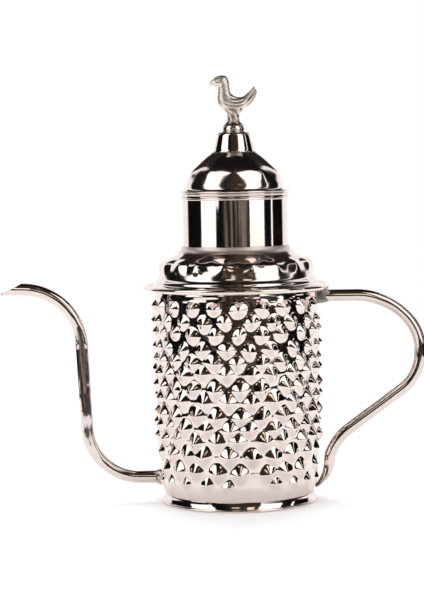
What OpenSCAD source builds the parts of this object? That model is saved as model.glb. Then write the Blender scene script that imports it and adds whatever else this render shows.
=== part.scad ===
// Long-spouted coffee pot of plated sheet metal: a studded wall on a foot ring, a domed shoulder
// and neck, a bent tube for the spout and another for the handle, and a lift-off lid with a cast bird.
// Millimetres. The origin is on the pot's axis, on the surface that it stands on.
// +Z is up, the handle points towards +X and the spout towards -X.

/* [Sheet metal] */
// Thickness of the raised sheet
sheet = 0.8; // [0.6:0.05:1]

/* [Foot] */
// Outer radius of the foot's lip
foot_r = 49.2; // [48.6:0.1:50]
// Height of the lip's straight side
foot_lip_h = 2; // [1.5:0.1:2.5]
// Height of the foot
foot_h = 6.2; // [5.6:0.1:7]
// Width of the ring that touches the table
foot_land = 2.4; // [1.8:0.1:3]
// Inner radius of the ledge that carries the base
foot_ledge_r = 43; // [40:0.5:44]
// Thickness of the base
base_t = 1; // [0.8:0.1:1.5]

/* [Wall] */
// Outer radius of the wall at the foot
wall_r_foot = 47.2; // [46.6:0.1:47.6]
// Outer radius between the studs, at the lowest row
wall_r_low = 50.2; // [49.6:0.1:50.8]
// Outer radius between the studs, under the brim
wall_r_top = 51.6; // [51:0.1:52]
// Height at which the lower curve ends
wall_curve_z = 16; // [14:0.5:18]
// Height of the wall's turned-out lip
lip_z = 135.6; // [135:0.2:137]
// Outer radius of the lip
lip_r = 57; // [56.4:0.1:57.4]

/* [Studs] */
// Rows of studs
stud_rows = 14; // [12:1:14]
// Studs in each row
studs_per_row = 22; // [18:2:26]
// Height of the lowest row's points
stud_z = 18.9; // [18.4:0.1:19.4]
// Height from row to row
stud_pitch = 8.22; // [8:0.02:8.24]
// Height of a stud over the wall
stud_h = 3.1; // [2:0.1:3.6]
// Share of that height in the lowest row
stud_low = 0.5; // [0.3:0.05:1]
// Half angle left plain for the spout and the handle
stud_gap_deg = 11; // [8:1:14]

/* [Seam] */
// Radius from the axis to the bead's centre
bead_path_r = 57.7; // [57.5:0.1:58]
// Radius of the bead
bead_r = 1.65; // [1.5:0.05:1.9]

/* [Shoulder] */
// Radius of the shoulder's dome
shoulder_r = 48.4; // [48:0.1:49]
// Height of the shoulder's upper edge
shoulder_z = 162.4; // [161.6:0.2:163.2]
// Bosses round the shoulder
shoulder_bosses = 18; // [12:1:24]
// Radius of a boss
shoulder_boss_r = 5; // [4:0.1:5.4]

/* [Neck] */
// Outer radius of the neck
neck_r = 33; // [32.6:0.1:33.2]
// Height of the neck's mouth
neck_z = 195.6; // [194:0.2:197]
// Height of the band at the mouth
band_h = 4.2; // [4:0.2:7]
// Thickness of the band
band_t = 0.9; // [0.7:0.05:1.2]
// Depth of the neck inside the shoulder
neck_tail = 3; // [2:0.2:4]

/* [Lid] */
// Gap between the lid's brim and the neck
lid_gap = 0.3; // [0.3:0.05:0.6]
// Outer radius of the lid's brim
lid_brim_r = 34.9; // [34.4:0.1:35.6]
// Thickness of the brim
lid_brim_t = 1.2; // [1:0.1:1.6]
// Gap between the sleeve and the neck
sleeve_gap = 0.6; // [0.4:0.05:0.8]
// Depth of the sleeve in the neck
sleeve_h = 12; // [8:0.5:16]
// Radius of the dome at its foot
dome_r = 32.2; // [32:0.1:32.8]
// Height of the dome over the brim
dome_h = 24.7; // [24:0.1:26]
// Bosses round the dome
dome_bosses = 10; // [8:1:14]
// Radius of a boss
dome_boss_r = 4.4; // [4:0.1:4.6]
// Radius of the cap at its foot
cup_r = 13.6; // [13.2:0.1:14]
// Height of the cap
cup_h = 12.6; // [12:0.1:13]

/* [Finial] */
// Radius of the pedestal's foot
pedestal_r = 7.4; // [7:0.1:7.8]
// Height of the pedestal
pedestal_h = 6.6; // [6.4:0.1:6.8]
// Radius of the bird's stem at its foot
stem_r = 4.2; // [3.9:0.1:4.4]
// Radius of the screw
stud_screw_r = 1.5; // [1.3:0.05:1.6]
// Width of the nut over its corners
nut_w = 6.4; // [6:0.1:7]
// Thickness of the nut
nut_t = 2.4; // [2:0.1:2.6]
// Radius of the washer
washer_r = 4.2; // [4:0.1:5]
// Thickness of the washer
washer_t = 0.8; // [0.6:0.1:1]

/* [Spout] */
// Outer radius of the spout
spout_r = 4.05; // [3.9:0.05:4.2]
// Inner radius of the spout
spout_bore_r = 3.4; // [3.2:0.05:3.5]
// Height of the spout's root
spout_z = 15.8; // [15.6:0.1:16.4]
// Radius of the lower bend
spout_low_bend = 33.5; // [32:0.5:35]
// Turn of the lower bend
spout_low_deg = 87.5; // [86:0.1:88]
// Length of the upright leg
spout_leg = 53.6; // [50:0.2:56]
// Radius of the upper bend
spout_top_bend = 37; // [35:0.5:39]
// Turn of the upper bend
spout_top_deg = 85.7; // [84:0.1:87]
// Length of the end piece to its lower lip
spout_end = 15; // [14.6:0.2:18]
// Angle of the slanted mouth
spout_cut_deg = 59; // [50:1:60]
// Radius of the strainer
strainer_r = 6.4; // [5.6:0.1:6.8]
// Radius of a strainer hole
strainer_hole_r = 0.9; // [0.7:0.05:1]

/* [Handle] */
// Outer radius of the handle tube
handle_r = 3.9; // [3.6:0.05:4.2]
// Wall of the handle tube
handle_wall = 0.9; // [0.8:0.05:1.2]
// Height of the upper end
handle_z = 129.6; // [129:0.1:130]
// Length of the upper straight
handle_top = 20; // [18:0.5:21]
// Radius of the upper bend
handle_top_bend = 44; // [42:0.5:45]
// Turn of the upper bend
handle_top_deg = 43; // [41:0.5:45]
// Radius of the bend after it, down to the outermost point
handle_turn_bend = 30; // [29:0.5:31]
// Radius of the bend below the outermost point
handle_side_bend = 29; // [28:0.5:30]
// Slope of the lower straight
handle_slope_deg = 36; // [35:0.5:37]
// Length of the lower straight
handle_low = 41.8; // [41:0.2:42.4]
// Radius of the last bend
handle_end_bend = 34; // [32:0.5:35]
// Turn of the last bend
handle_end_deg = 37; // [36:0.5:38]
// Half width of the saddle
saddle_half_w = 4.6; // [4.2:0.1:5.4]

/* [Output] */
// Piece to show

/* [Hidden] */
$fn = 96;
bright = [0.86, 0.83, 0.81];
dull = [0.45, 0.41, 0.38];
brass = [0.75, 0.6, 0.32];
fit = 0.05;
brim_z = lip_z + sheet;
neck_bore = neck_r - sheet - 2 * fit;
sleeve_r = neck_bore - sleeve_gap;
lid_z = neck_z + lid_gap;
dome_z = lid_z + lid_brim_t;
cup_drop = 0.85;
cup_z = dome_z + dome_h - cup_drop;
pedestal_z = cup_z + cup_h;
bird_z = pedestal_z + pedestal_h;
screw_bore = stud_screw_r + fit;
spout_x = -49.6;
spout_root = 13.2;
handle_x = 55;
bend_gap = 2;
tube_lap = 0.4;
tube_step = 0.02;

// Points of a cubic curve through p and s, drawn towards q and r
function curve(p, q, r, s, n = 8) =
    [for (i = [0:n]) let (t = i / n, u = 1 - t)
        u * u * u * p + 3 * u * u * t * q + 3 * u * t * t * r + t * t * t * s];

// Unit normal on the left of a line of points, at point i
function normal_at(pts, i) =
    let (a = pts[max(i - 1, 0)], b = pts[min(i + 1, len(pts) - 1)], d = (b - a) / norm(b - a))
    [-d[1], d[0]];

// The same line moved t to its left
function beside(pts, t) = [for (i = [0:len(pts) - 1]) pts[i] + t * normal_at(pts, i)];

// Section of a sheet whose outer face follows a line from its lower to its upper edge
function sheet_section(pts) =
    let (inner = beside(pts, sheet)) concat(pts, [for (i = [len(pts) - 1:-1:0]) inner[i]]);

module spun_sheet(pts) {
    rotate_extrude() polygon(sheet_section(pts));
}

// The space under the outer face of such a sheet, down to its lower edge
module spun_core(pts) {
    inner = beside(pts, sheet);
    last = len(pts) - 1;
    rotate_extrude() polygon(concat([[0, inner[0][1] - 2]], [[inner[0][0], inner[0][1] - 2]], inner,
        [[0, inner[last][1]]]));
}

// Tube along +Z through runs of [length] and [radius, turn], a turn being towards +X or, if negative, -X.
// Straight runs are a hair thinner than bends and reach a little way into them.
module bent_tube(runs, r, i = 0) {
    if (i < len(runs)) {
        run = runs[i];
        if (len(run) == 1) {
            translate([0, 0, -tube_lap]) cylinder(h = run[0] + 2 * tube_lap, r = r - tube_step);
            translate([0, 0, run[0]]) bent_tube(runs, r, i + 1);
        } else {
            side = run[1] < 0 ? 180 : 0;
            turn = abs(run[1]);
            rotate([0, 0, side]) {
                translate([run[0], 0, 0]) rotate([90, 0, 0]) rotate([0, 0, 180 - turn])
                    rotate_extrude(angle = turn) translate([run[0], 0]) circle(r = r);
                translate([run[0] * (1 - cos(turn)), 0, run[0] * sin(turn)]) rotate([0, turn, 0])
                    rotate([0, 0, side]) bent_tube(runs, r, i + 1);
            }
        }
    }
}

// Solid through oval stations of [x, z, heading, half height, half width] in the plane y = 0
module loft(stations, sides) {
    n = len(stations);
    pts = [for (s = stations) for (k = [0:sides - 1]) let (a = 360 * k / sides)
        [s[0] - s[3] * cos(a) * sin(s[2]), s[4] * sin(a), s[1] + s[3] * cos(a) * cos(s[2])]];
    skin = [for (i = [0:n - 2]) for (k = [0:sides - 1]) let (m = (k + 1) % sides, a = i * sides, b = a + sides)
        each [[a + k, a + m, b + m], [a + k, b + m, b + k]]];
    first = [for (k = [sides - 1:-1:0]) k];
    final = [for (k = [0:sides - 1]) (n - 1) * sides + k];
    polyhedron(points = pts, faces = concat(skin, [first, final]), convexity = 6);
}

// Outer radius of the wall between the studs
wall_rise = wall_r_low - wall_r_foot;
wall_lean = (wall_r_top - wall_r_low) / (lip_z - wall_curve_z);
function wall_r(z) = z < wall_curve_z
    ? wall_r_foot + wall_rise * sin(90 * (z - foot_h) / (wall_curve_z - foot_h))
    : wall_r_low + wall_lean * (z - wall_curve_z);

// Row k has its points over the columns whose number has the same parity as k
columns = 2 * studs_per_row;
column_deg = 360 / columns;
function is_point(row, c) = row >= 0 && (c + row) % 2 == 0;
function fade(row) = row == 0 ? stud_low : row == 1 ? (1 + stud_low) / 2 : 1;
function from_x(c) = abs((c * column_deg + 180) % 360 - 180);
function kept(row, c) =
    (from_x(c) < stud_gap_deg && (row < 3 || row > stud_rows - 3))
    || (180 - from_x(c) < stud_gap_deg && row < 2) ? 0 : 1;
function rise(row, c) = is_point(row, c) ? stud_h * fade(row) * kept(row, c) : 0;

// Rings of the wall as [z, radius, row], row -1 being plain
plain_low = [foot_h, (foot_h + stud_z - stud_pitch) / 2, stud_z - stud_pitch];
plain_top = stud_z + stud_rows * stud_pitch;
face = concat([for (z = plain_low) [z, wall_r(z), -1]],
    [for (k = [0:stud_rows - 1]) let (z = stud_z + k * stud_pitch) [z, wall_r(z), k]],
    [[plain_top, wall_r(plain_top), -1]]);
lip = [[lip_z, wall_r(lip_z), -1], [lip_z, lip_r, -1], [lip_z + sheet, lip_r, -1],
    [lip_z + sheet, wall_r(lip_z) - sheet, -1]];
back = [for (i = [len(face) - 1:-1:0]) [face[i][0], face[i][1] - sheet, face[i][2]]];
rings = concat(face, lip, back);

module foot_ring() {
    inside = foot_r - foot_land;
    flare = curve([foot_r, foot_lip_h], [foot_r - 0.4, foot_lip_h + 2], [wall_r_foot + 0.4, foot_h - 1.2],
        [wall_r_foot + 0.2, foot_h]);
    color(bright) rotate_extrude() polygon(concat([[inside, 0], [foot_r, 0]], flare,
        [[foot_ledge_r, foot_h], [foot_ledge_r, foot_h - sheet], [inside - 1.2, foot_h - sheet]]));
}

module base_disc() {
    color(bright) translate([0, 0, foot_h]) cylinder(h = base_t, r = wall_r_foot - sheet - 0.4);
}

module body_wall() {
    n = len(rings);
    pts = [for (g = rings) for (c = [0:columns - 1]) let (r = g[1] + rise(g[2], c), a = c * column_deg)
        [r * cos(a), r * sin(a), g[0]]];
    faces = [for (i = [0:n - 1]) for (c = [0:columns - 1])
        let (j = (i + 1) % n, d = (c + 1) % columns, ic = i * columns + c, id = i * columns + d,
            jc = j * columns + c, jd = j * columns + d)
        each is_point(rings[i][2], c) || is_point(rings[j][2], d)
            ? [[ic, jc, id], [id, jc, jd]] : [[ic, jc, jd], [ic, jd, id]]];
    color(bright) difference() {
        polyhedron(points = pts, faces = faces, convexity = 10);
        translate([spout_x + 8, 0, spout_z]) rotate([0, -90, 0]) cylinder(h = 16, r = spout_r + fit);
    }
}

module seam_ring() {
    slot = lip_r + 0.2;
    color(bright) rotate_extrude() difference() {
        translate([bead_path_r, lip_z + sheet]) circle(r = bead_r);
        translate([slot - 4, lip_z]) square([4, 2 * sheet]);
    }
}

// Outer face of the shoulder from the brim up to the neck
shoulder_line = concat([[lip_r, brim_z + sheet]],
    curve([55.5, brim_z + sheet], [51.6, brim_z + sheet + 0.4], [shoulder_r + 0.6, brim_z + 5],
        [shoulder_r, brim_z + 8.6]),
    curve([shoulder_r - 0.1, brim_z + 9.6], [shoulder_r - 0.6, brim_z + 13.1], [46.3, brim_z + 16],
        [43.2, brim_z + 17.8]),
    curve([42.4, brim_z + 18.3], [38.5, brim_z + 20.7], [neck_r + 1.4, shoulder_z - 3],
        [neck_r + sheet + fit, shoulder_z]));

module shoulder_dome() {
    boss_path_r = shoulder_r - 4.8;
    boss_z = brim_z + 12.4;
    color(bright) union() {
        spun_sheet(shoulder_line);
        difference() {
            for (i = [0:shoulder_bosses - 1]) rotate([0, 0, 360 * i / shoulder_bosses])
                translate([boss_path_r, 0, boss_z]) sphere(r = shoulder_boss_r);
            spun_core(shoulder_line);
        }
    }
}

module neck_tube() {
    low = shoulder_z - neck_tail;
    color(bright) difference() {
        translate([0, 0, low]) cylinder(h = neck_z - low, r = neck_r);
        translate([0, 0, low - 1]) cylinder(h = neck_z - low + 2, r = neck_bore);
    }
}

module neck_band() {
    edge = 0.5;
    r = neck_r + band_t;
    low = neck_z - band_h;
    color(bright) rotate_extrude() polygon([[neck_r, low], [r - edge, low], [r, low + edge],
        [r, neck_z - edge], [r - edge, neck_z], [neck_r, neck_z]]);
}

spout_runs = [[spout_root], [spout_low_bend, spout_low_deg], [spout_leg], [spout_top_bend, -spout_top_deg],
    [spout_end]];
lean_deg = 90 - spout_low_deg;
end_deg = lean_deg + spout_top_deg;

module spout_tube() {
    leg_x = spout_x - spout_root - spout_low_bend * sin(spout_low_deg);
    leg_z = spout_z + spout_low_bend * (1 - cos(spout_low_deg));
    bend_x = leg_x - spout_leg * sin(lean_deg);
    bend_z = leg_z + spout_leg * cos(lean_deg);
    top_x = bend_x - spout_top_bend * (cos(lean_deg) - cos(end_deg));
    top_z = bend_z + spout_top_bend * (sin(end_deg) - sin(lean_deg));
    color(bright) difference() {
        translate([spout_x, 0, spout_z]) rotate([0, -90, 0]) bent_tube(spout_runs, spout_r);
        translate([spout_x, 0, spout_z]) rotate([0, -90, 0]) bent_tube(spout_runs, spout_bore_r);
        translate([spout_x + 1, 0, spout_z]) rotate([0, -90, 0]) cylinder(h = 2, r = spout_bore_r);
        translate([top_x, 0, top_z]) rotate([0, -end_deg, 0]) translate([-spout_r, 0, spout_end])
            rotate([0, spout_cut_deg, 0]) translate([-10, -10, 0]) cube([40, 20, 20]);
        translate([top_x, 0, top_z]) rotate([0, -end_deg, 0]) translate([0, 0, spout_end - 1])
            cylinder(h = 3, r = spout_bore_r);
    }
}

module spout_collar() {
    reach = 54.4;
    root_r = spout_r + 2.4;
    color(dull) difference() {
        translate([spout_x, 0, spout_z]) rotate([0, -90, 0])
            cylinder(h = reach + spout_x, r1 = root_r, r2 = spout_r + 0.7);
        translate([spout_x + 1, 0, spout_z]) rotate([0, -90, 0]) cylinder(h = 10, r = spout_r + fit);
        cylinder(h = 40, r = wall_r(spout_z + root_r) + fit);
    }
}

// The strainer's edge keeps this far from the wall, which bends inwards below it
strainer_gap = 0.4;

module spout_strainer() {
    low = spout_z - strainer_r;
    low_r = wall_r(low) - sheet - strainer_gap;
    top_r = wall_r(spout_z + strainer_r) - sheet - strainer_gap;
    cap = top_r - 4.8;
    ring = strainer_r * 0.55;
    color(dull) difference() {
        intersection() {
            translate([-cap, 0, spout_z]) rotate([0, -90, 0]) cylinder(h = 6, r = strainer_r);
            translate([0, 0, low]) cylinder(h = 2 * strainer_r, r1 = low_r, r2 = top_r);
        }
        translate([-cap - sheet, 0, spout_z]) rotate([0, -90, 0]) cylinder(h = 6, r = strainer_r - sheet);
        translate([-cap + 1, 0, spout_z]) rotate([0, -90, 0]) cylinder(h = 3, r = strainer_hole_r);
        for (a = [0:60:300]) translate([-cap + 1, ring * cos(a), spout_z + ring * sin(a)]) rotate([0, -90, 0])
            cylinder(h = 3, r = strainer_hole_r);
    }
}

handle_runs = [[handle_top], [handle_top_bend, handle_top_deg], [bend_gap],
    [handle_turn_bend, 90 - handle_top_deg], [bend_gap], [handle_side_bend, 90 - handle_slope_deg],
    [handle_low], [handle_end_bend, -handle_end_deg]];

// Where each run of the handle ends, down to the flattened end that lies on the wall
tail_deg = handle_slope_deg + handle_end_deg;
turn_x = handle_x + handle_top + handle_top_bend * sin(handle_top_deg) + bend_gap * cos(handle_top_deg);
turn_z = handle_z - handle_top_bend * (1 - cos(handle_top_deg)) - bend_gap * sin(handle_top_deg);
side_x = turn_x + handle_turn_bend * (1 - sin(handle_top_deg));
side_z = turn_z - handle_turn_bend * cos(handle_top_deg) - bend_gap;
slope_x = side_x - handle_side_bend * (1 - sin(handle_slope_deg));
slope_z = side_z - handle_side_bend * cos(handle_slope_deg);
low_x = slope_x - handle_low * cos(handle_slope_deg);
low_z = slope_z - handle_low * sin(handle_slope_deg);
tail_x = low_x - handle_end_bend * (sin(tail_deg) - sin(handle_slope_deg));
tail_z = low_z - handle_end_bend * (cos(handle_slope_deg) - cos(tail_deg));
tail_heading = 180 + tail_deg;
tail = [
    [tail_x + 0.4, tail_z + 1.4, tail_heading, handle_r - 0.1, handle_r - 0.1],
    [tail_x - 0.4, tail_z - 1.6, tail_heading + 2, handle_r - 0.2, handle_r],
    [57.1, 22, 257, 3.6, 4.1],
    [56.1, 18, 256, 3.2, 4.5],
    [54.7, 14.6, 250, 2.7, 4.9],
    [52.6, 12, 238, 1.9, 4.8],
    [50.6, 9.4, 235, 1.3, 3.6],
    [48.6, 7.6, 232, 0.8, 1.8]];

module handle_tube() {
    color(bright) union() {
        difference() {
            translate([handle_x, 0, handle_z]) rotate([0, 90, 0])
                bent_tube(handle_runs, handle_r);
            translate([handle_x - 1, 0, handle_z]) rotate([0, 90, 0]) cylinder(h = 2, r = handle_r - handle_wall);
            translate([handle_x, 0, handle_z]) rotate([0, 90, 0])
                bent_tube(handle_runs, handle_r - handle_wall);
        }
        loft(tail, 20);
    }
}

module handle_saddle() {
    top = 134;
    low = 125.3;
    low_reach = 58.1;
    top_reach = 59.8;
    inner = wall_r_top + 3 * fit;
    color(dull) difference() {
        translate([0, saddle_half_w, 0]) rotate([90, 0, 0]) linear_extrude(2 * saddle_half_w)
            polygon([[inner - 2, low], [low_reach, low], [top_reach, top], [inner - 2, top]]);
        translate([0, 0, low - 1]) cylinder(h = top - low + 2, r = inner);
        translate([handle_x - tube_lap - fit, 0, handle_z]) rotate([0, 90, 0]) cylinder(h = 10, r = handle_r + fit);
    }
}

module lid_brim() {
    edge = 0.5;
    color(bright) rotate_extrude() polygon([[sleeve_r + fit, lid_z], [lid_brim_r - edge, lid_z],
        [lid_brim_r, lid_z + edge], [lid_brim_r, dome_z - edge], [lid_brim_r - edge, dome_z],
        [sleeve_r + fit, dome_z]]);
}

module lid_sleeve() {
    low = lid_z - sleeve_h;
    color(bright) difference() {
        translate([0, 0, low]) cylinder(h = dome_z - low, r = sleeve_r);
        translate([0, 0, low - 1]) cylinder(h = dome_z - low + 2, r = sleeve_r - sheet);
    }
}

// Outer face of the lid's dome from the brim up to the cap
dome_line = concat([[dome_r, dome_z], [dome_r, dome_z + 0.4]],
    curve([dome_r - 0.3, dome_z + 0.9], [31, dome_z + 3], [30.2, dome_z + 6], [28.7, dome_z + 8.9]),
    curve([28.4, dome_z + 9.4], [27, dome_z + 11.6], [25.3, dome_z + 14], [23, dome_z + 16.2]),
    curve([22.4, dome_z + 16.8], [19.6, dome_z + 19.2], [16.8, dome_z + 21.8], [cup_r - 1.4, dome_z + dome_h]));

module lid_dome() {
    boss_path_r = 24.6;
    boss_z = dome_z + 10.5;
    color(bright) union() {
        spun_sheet(dome_line);
        difference() {
            for (i = [0:dome_bosses - 1]) rotate([0, 0, 360 * (i + 0.5) / dome_bosses])
                translate([boss_path_r, 0, boss_z]) sphere(r = dome_boss_r);
            spun_core(dome_line);
        }
    }
}

// Outer face of the cap from its foot, which follows the dome, to its flat top
cup_line = concat([[cup_r, cup_z]],
    curve([cup_r - 0.15, cup_z + 0.8], [12.9, cup_z + 3.6], [12.1, cup_z + 6.6], [11.3, cup_z + 9.6]),
    curve([11.1, cup_z + 10.4], [10.6, cup_z + 12], [9.8, cup_z + cup_h], [8.2, cup_z + cup_h]),
    [[screw_bore, cup_z + cup_h]]);

module lid_cup() {
    color(bright) rotate_extrude() difference() {
        polygon(sheet_section(cup_line));
        translate([0, fit]) polygon(concat([[0, dome_z]], dome_line, [[0, dome_z + dome_h]]));
    }
}

module finial_pedestal() {
    top = pedestal_z + pedestal_h;
    edge = 0.5;
    bell = curve([pedestal_r - 0.1, pedestal_z + 1.2], [pedestal_r - 0.2, pedestal_z + 3.6],
        [stem_r + 1.2, top - 1.4], [stem_r, top]);
    color(bright) rotate_extrude() polygon(concat([[screw_bore, pedestal_z], [pedestal_r - edge, pedestal_z],
        [pedestal_r, pedestal_z + edge]], bell, [[screw_bore, top]]));
}

// Stations from the tail's tip to the beak's tip
bird_line = [
    [14.2, 260.6, 211, 1.75, 0.9],
    [12.4, 257.6, 215, 2.5, 1.5],
    [9.6, 254.3, 207, 3.2, 2.3],
    [6.5, 252.4, 196, 3.5, 3.1],
    [2.6, 251.5, 182, 4.3, 3.8],
    [-0.9, 252, 172, 5.1, 4.2],
    [-4.1, 253.3, 156, 6.1, 4.3],
    [-5.7, 256.2, 136, 5.4, 3.9],
    [-5.7, 260.2, 105, 3.75, 3.2],
    [-5.9, 263.2, 108, 3.85, 3.1],
    [-7.5, 265.4, 133, 4.7, 3.4],
    [-9.9, 265.9, 147, 4.1, 3],
    [-12.2, 265.5, 156, 2.9, 2],
    [-13.9, 264.7, 160, 1.4, 1],
    [-14.5, 264.3, 160, 0.6, 0.5]];

module bird() {
    stem_h = 9;
    screw_depth = 3;
    stem_line = curve([stem_r, bird_z], [stem_r - 1.6, bird_z + 2.4], [2.5, bird_z + 5.4], [3.5, bird_z + stem_h]);
    color(bright) difference() {
        union() {
            loft(bird_line, 18);
            rotate_extrude() polygon(concat([[0, bird_z]], stem_line, [[0, bird_z + stem_h]]));
        }
        translate([0, 0, bird_z - 1]) cylinder(h = screw_depth + 1, r = screw_bore);
    }
}

module finial_stud() {
    low = pedestal_z - sheet - washer_t - nut_t - 1;
    color(brass) translate([0, 0, low]) cylinder(h = bird_z + 2.8 - low, r = stud_screw_r);
}

module finial_washer() {
    low = pedestal_z - sheet - washer_t;
    color(brass) difference() {
        translate([0, 0, low]) cylinder(h = washer_t, r = washer_r);
        translate([0, 0, low - 1]) cylinder(h = washer_t + 2, r = screw_bore);
    }
}

module finial_nut() {
    low = pedestal_z - sheet - washer_t - nut_t;
    color(brass) difference() {
        translate([0, 0, low]) cylinder(h = nut_t, r = nut_w / 2, $fn = 6);
        translate([0, 0, low - 1]) cylinder(h = nut_t + 2, r = screw_bore);
    }
}

foot_ring();
base_disc();
body_wall();
seam_ring();
shoulder_dome();
neck_tube();
neck_band();
spout_tube();
spout_collar();
spout_strainer();
handle_tube();
handle_saddle();
lid_brim();
lid_sleeve();
lid_dome();
lid_cup();
finial_pedestal();
bird();
finial_stud();
finial_washer();
finial_nut();
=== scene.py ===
import math

import bpy
import numpy as np
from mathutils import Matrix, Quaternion, Vector


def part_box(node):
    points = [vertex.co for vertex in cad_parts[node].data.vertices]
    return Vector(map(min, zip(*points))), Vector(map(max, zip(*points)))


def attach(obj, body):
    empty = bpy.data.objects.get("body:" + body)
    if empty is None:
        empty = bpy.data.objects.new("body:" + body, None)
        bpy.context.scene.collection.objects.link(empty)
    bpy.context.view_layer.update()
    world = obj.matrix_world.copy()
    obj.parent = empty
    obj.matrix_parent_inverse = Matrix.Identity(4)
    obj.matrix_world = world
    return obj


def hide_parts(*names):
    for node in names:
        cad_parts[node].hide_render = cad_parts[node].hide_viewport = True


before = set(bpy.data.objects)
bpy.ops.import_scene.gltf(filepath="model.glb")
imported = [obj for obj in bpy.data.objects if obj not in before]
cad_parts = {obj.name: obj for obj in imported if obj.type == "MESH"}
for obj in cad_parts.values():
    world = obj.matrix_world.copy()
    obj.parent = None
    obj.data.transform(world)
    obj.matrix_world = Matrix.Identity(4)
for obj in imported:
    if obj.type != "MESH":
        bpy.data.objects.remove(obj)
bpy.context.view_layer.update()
mm = 0.001
fullTurn = 2 * math.pi
chance = np.random.default_rng(11)
scene = bpy.context.scene
print("frame loaded:", len(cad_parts), "nodes")


# Shader maths: a Wire is one socket, and a Board is the node tree it lives on
class Wire:
    def __init__(self, board, socket):
        self.board = board
        self.socket = socket

    def math(self, operation, first, second):
        return self.board.node("Math", {"operation": operation}, {0: first, 1: second})

    def __add__(self, other):
        return self.math("ADD", self, other)

    def __radd__(self, other):
        return self.math("ADD", other, self)

    def __sub__(self, other):
        return self.math("SUBTRACT", self, other)

    def __rsub__(self, other):
        return self.math("SUBTRACT", other, self)

    def __mul__(self, other):
        return self.math("MULTIPLY", self, other)

    def __rmul__(self, other):
        return self.math("MULTIPLY", other, self)


class Board:
    def __init__(self, tree):
        self.tree = tree
        tree.nodes.clear()

    def node(self, kind, settings=None, sockets=None, output=0):
        made = self.tree.nodes.new("ShaderNode" + kind)
        for key, value in (settings or {}).items():
            setattr(made, key, value)
        for key, value in (sockets or {}).items():
            if isinstance(value, Wire):
                self.tree.links.new(value.socket, made.inputs[key])
            elif isinstance(value, (tuple, list)) and made.inputs[key].type == "RGBA":
                made.inputs[key].default_value = (*value, 1)
            else:
                made.inputs[key].default_value = value
        return Wire(self, made.outputs[output]) if len(made.outputs) else made

    def place(self):
        return self.node("TexCoord", output="Object")

    def stretch(self, vector, factors):
        return self.node("VectorMath", {"operation": "MULTIPLY"}, {0: vector, 1: factors})

    def cloud(self, vector, scale, detail, roughness):
        return self.node("TexNoise", None,
                         {"Vector": vector, "Scale": scale, "Detail": detail, "Roughness": roughness})

    def ramp(self, value, low, high, start=0.0, end=1.0):
        return self.node("MapRange", {"interpolation_type": "SMOOTHSTEP"},
                         {"Value": value, "From Min": low, "From Max": high, "To Min": start, "To Max": end})

    def mix(self, factor, first, second):
        return self.node("Mix", {"data_type": "RGBA"}, {0: factor, 6: first, 7: second}, output=2)

    def painted(self, name):
        return self.node("Attribute", {"attribute_name": name}, output="Fac")

    def bump(self, height):
        return self.node("Bump", None, {"Strength": 1.0, "Distance": mm, "Height": height})

    def close(self, shader):
        self.node("OutputMaterial", None, {"Surface": shader})

    def surface(self, sockets):
        self.close(self.node("BsdfPrincipled", None, sockets))


def newMaterial(name):
    made = bpy.data.materials.new(name)
    made.use_nodes = True
    return made, Board(made.node_tree)


# Bright plate: pale warm silver with soft beating marks and fine polishing lines,
# and a brown film where a cloth can't reach. Depths of relief are in millimetres
brightLook = {
    "silver": (0.89, 0.79, 0.755),
    "worn": (0.85, 0.745, 0.70),
    "film": (0.17, 0.105, 0.06),
    "shine": 0.045,  # roughness of the cleanest metal, and what film and dull paint add to it
    "hazy": 0.16,
    "dulled": 0.32,
    "hazeScale": 45,
    "grainScale": 1400,
    "speckDepth": 0.0012,
}


def brightPlate(name, dentSize, dentDepth, filmShare, lineSpread=(60, 60, 1800), lineDepth=0.003,
                softer=0.0, tone=1.0):
    look = brightLook
    material, b = newMaterial(name)
    place = b.place()
    dents = b.cloud(place, 1 / (dentSize * mm), 2.0, 0.45)
    haze = b.cloud(place, look["hazeScale"], 4.0, 0.6)
    speck = b.ramp(b.cloud(place, look["grainScale"], 2.0, 0.6), 0.62, 0.78)
    lines = b.cloud(b.stretch(place, lineSpread), 1.0, 3.0, 0.65)
    film = b.ramp(b.painted("hollow") + 0.5 * (haze - 0.5), 0.45, 1.0) * filmShare
    silver, worn = ([tone * part for part in look[shade]] for shade in ("silver", "worn"))
    metal = b.mix(b.ramp(haze, 0.42, 0.72), silver, worn)
    rough = look["shine"] + softer + 0.05 * b.ramp(haze, 0.45, 0.75) + 0.03 * lines + 0.05 * speck
    rough = rough + look["hazy"] * film + look["dulled"] * b.painted("dull")
    relief = dentDepth * dents + lineDepth * lines + look["speckDepth"] * speck
    b.surface({"Base Color": b.mix(film, metal, look["film"]), "Metallic": 1.0, "Roughness": rough,
               "Normal": b.bump(relief)})
    return material


# Cast bird: the same plate, duller, with a gold cast where the plate is thin
castLook = {"silver": (0.88, 0.80, 0.74), "gold": (0.72, 0.52, 0.35), "dirt": (0.12, 0.085, 0.06),
            "goldShare": 0.55, "dirtShare": 0.75, "pitScale": 520, "wearScale": 130}


def castPlate():
    look = castLook
    material, b = newMaterial("castPlate")
    place = b.place()
    pits = b.cloud(place, look["pitScale"], 3.0, 0.6)
    wear = b.cloud(place, look["wearScale"], 3.0, 0.6)
    metal = b.mix(b.ramp(wear, 0.52, 0.72) * look["goldShare"], look["silver"], look["gold"])
    dirt = b.ramp(b.painted("hollow") + 0.35 * (pits - 0.5), 0.35, 0.95) * look["dirtShare"]
    b.surface({"Base Color": b.mix(dirt, metal, look["dirt"]), "Metallic": 1.0,
               "Roughness": 0.30 + 0.16 * pits + 0.2 * dirt, "Normal": b.bump(0.03 * pits + 0.05 * wear)})
    return material


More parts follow.
